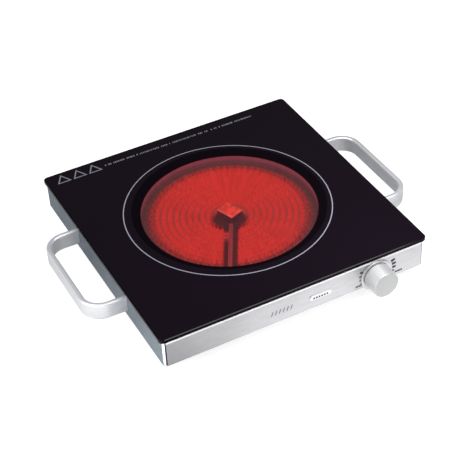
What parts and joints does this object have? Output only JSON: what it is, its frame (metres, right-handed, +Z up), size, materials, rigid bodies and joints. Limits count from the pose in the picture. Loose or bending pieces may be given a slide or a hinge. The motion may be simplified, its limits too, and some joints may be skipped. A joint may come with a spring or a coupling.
{
  "type": "hot plate burner",
  "caption": "Free-standing square glass-ceramic hot plate: radiant heater in a low steel housing, side handles, rubber feet and a front control knob.",
  "frame": {"origin": "bottom centre of the whole object, on the surface it stands on", "axes": "+X to the right along the front panel, +Y to the back, +Z up"},
  "size_m": [0.356, 0.3006, 0.046],
  "materials": {
    "black_nylon": "moulded nylon",
    "black_rubber": "moulded rubber",
    "brass": "plain brass",
    "brushed_steel": "brushed along its length",
    "ceramic": "steatite",
    "ceramic_fibre": "ceramic fibre",
    "galvanised_steel": "galvanised sheet",
    "glass_ceramic": "black glass-ceramic, polished, with a thin printed grey ring",
    "insulation_board": "pressed microporous board",
    "phenolic": "moulded phenolic",
    "polished_steel": "polished",
    "quartz": "clear quartz",
    "resistance_alloy": "oxidised iron-chromium-aluminium ribbon",
    "satin_aluminium": "satin anodised",
    "silicone": "black silicone adhesive",
    "spring_steel": "rolled spring strip",
    "white_nylon": "moulded nylon",
    "wire_insulation": "silicone-sleeved leads",
    "zinc_fasteners": "bright zinc plated"
  },
  "bodies": {
    "housing": {"base_plate": "galvanised_steel", "base_screws": "zinc_fasteners", "bimetal_strip": "spring_steel", "cable_gland": "black_nylon", "earth_screw": "brass", "earth_tag": "brass", "foot_front_left": "black_rubber", "foot_front_right": "black_rubber", "foot_nuts": "zinc_fasteners", "foot_rear_left": "black_rubber", "foot_rear_right": "black_rubber", "foot_screws": "zinc_fasteners", "front_panel": "brushed_steel", "gland_nut": "black_nylon", "glass_plate": "glass_ceramic", "glass_seal": "silicone", "handle_screws": "zinc_fasteners", "heater_base_insulation": "insulation_board", "heater_centre_stud": "ceramic", "heater_ring_insulation": "ceramic_fibre", "heater_support_springs": "spring_steel", "heater_terminal_block": "ceramic", "heater_tray": "galvanised_steel", "heating_ribbon": "resistance_alloy", "housing_wrap": "brushed_steel", "internal_wires": "wire_insulation", "knob_bezel": "polished_steel", "left_handle": "satin_aluminium", "limiter_head": "ceramic", "limiter_rod": "spring_steel", "limiter_tube": "quartz", "mains_terminal_block": "white_nylon", "nameplate": "polished_steel", "regulator_body": "phenolic", "regulator_nut": "brass", "regulator_plate": "galvanised_steel", "regulator_tabs": "brass", "regulator_washer": "zinc_fasteners", "right_handle": "satin_aluminium", "terminal_screws": "brass"},
    "knob_assembly": {"knob": "satin_aluminium", "knob_spring": "spring_steel", "regulator_shaft": "polished_steel", "regulator_cam": "white_nylon"},
    "follower": {"cam_follower": "white_nylon"}
  },
  "joints": [
    {"name": "knob_turn", "type": "hinge", "parent": "housing", "child": "knob_assembly", "pos_m": [0.0847, -0.13125, 0.0232], "axis": [0, -1, 0], "range_deg": [0, 290]},
    {"name": "follower_slide", "type": "slide", "parent": "housing", "child": "follower", "axis": [-1, 0, 0], "range_m": [0, 0.0015]}
  ],
  "couplings": [
    {"joint": "follower_slide", "follows": "knob_turn", "m_per_rad": 0.000296}
  ]
}
